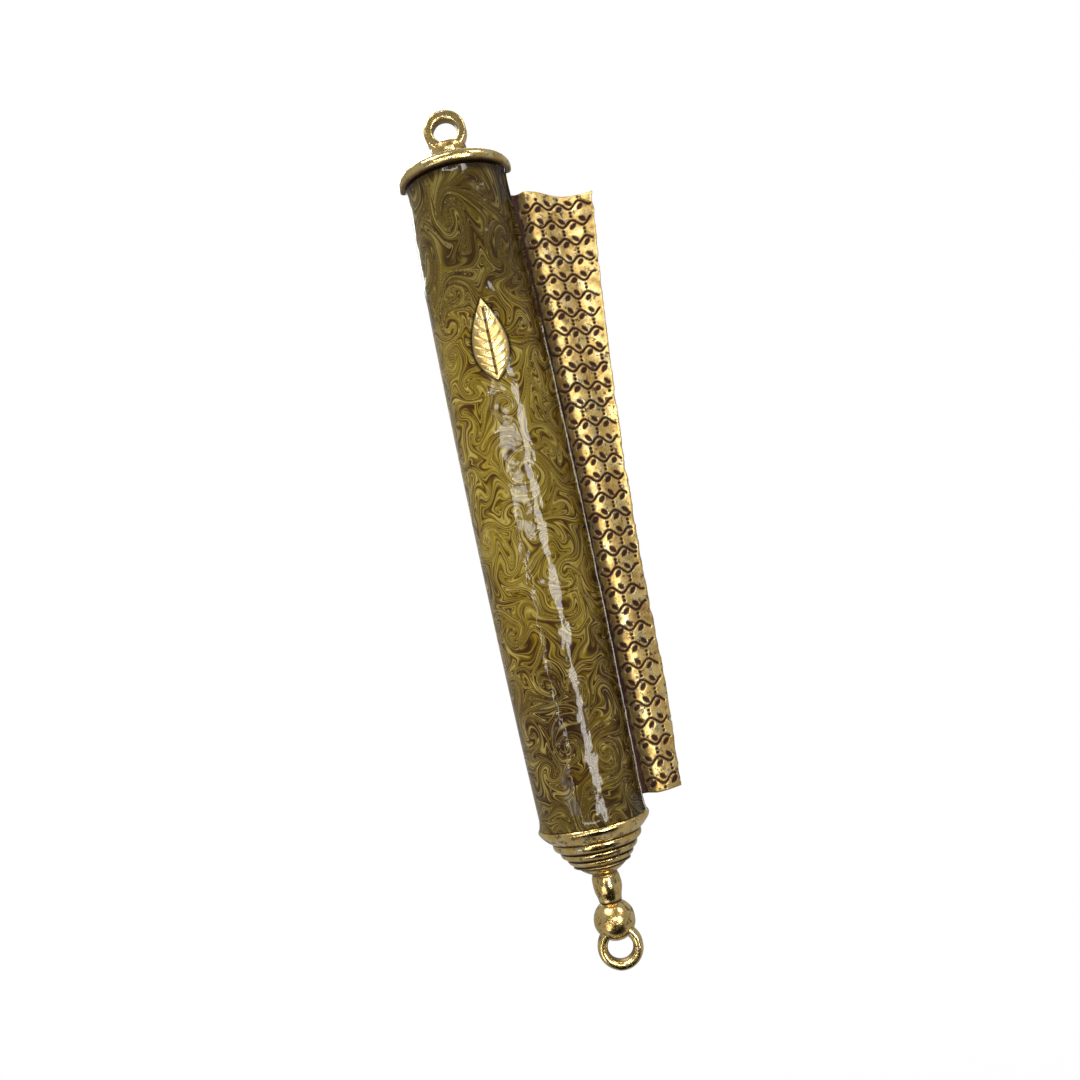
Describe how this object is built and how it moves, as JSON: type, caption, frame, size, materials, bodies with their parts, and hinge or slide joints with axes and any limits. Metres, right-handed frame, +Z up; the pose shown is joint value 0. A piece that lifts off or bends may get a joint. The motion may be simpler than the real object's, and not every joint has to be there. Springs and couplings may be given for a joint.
{
  "type": "mezuzah case",
  "caption": "Half-round wall case for a rolled parchment: marbled enamel barrel, engraved scroll wing, hanging rings and a lift-off back plate.",
  "frame": {"origin": "centre of the bottom end cap's flat back face, on the barrel's axis, in the plane that lies on the doorpost", "axes": "+Z up the case towards the top ring, +Y back into the doorpost, +X to the viewer's right towards the wing"},
  "size_m": [0.0279, 0.0085, 0.127],
  "materials": {
    "antique_gold": "antique gold plate, satin with bright rubbed high spots and dark brown patina in the recesses",
    "marbled_enamel": "glossy olive and golden brown enamel marbled with cream swirls",
    "plate_brass": "thin rolled sheet, lightly brushed",
    "parchment": "matt cream parchment, blank, rolled",
    "clear_film": "thin clear protective film"
  },
  "bodies": {
    "case": {"barrel_shell": "antique_gold", "enamel_coat": "marbled_enamel", "leaf_emblem": "antique_gold", "scroll_wing": "antique_gold", "top_end_cap": "antique_gold", "top_neck": "antique_gold", "top_ring": "antique_gold", "bottom_end_cap": "antique_gold", "stepped_cone": "antique_gold", "finial_bead": "antique_gold", "finial_ball": "antique_gold", "bottom_ring": "antique_gold"},
    "rear_plate": {"back_plate": "plate_brass"},
    "parchment": {"parchment_roll": "parchment", "parchment_sleeve": "clear_film"}
  },
  "joints": [
    {"name": "back_plate_lift", "type": "slide", "parent": "case", "child": "rear_plate", "axis": [0, 1, 0], "range_m": [0, 0.04]},
    {"name": "parchment_lift", "type": "slide", "parent": "case", "child": "parchment", "axis": [0, 1, 0], "range_m": [0, 0.022]}
  ],
  "couplings": [
    {"joint": "parchment_lift", "follows": "back_plate_lift", "ratio": 0.55}
  ]
}
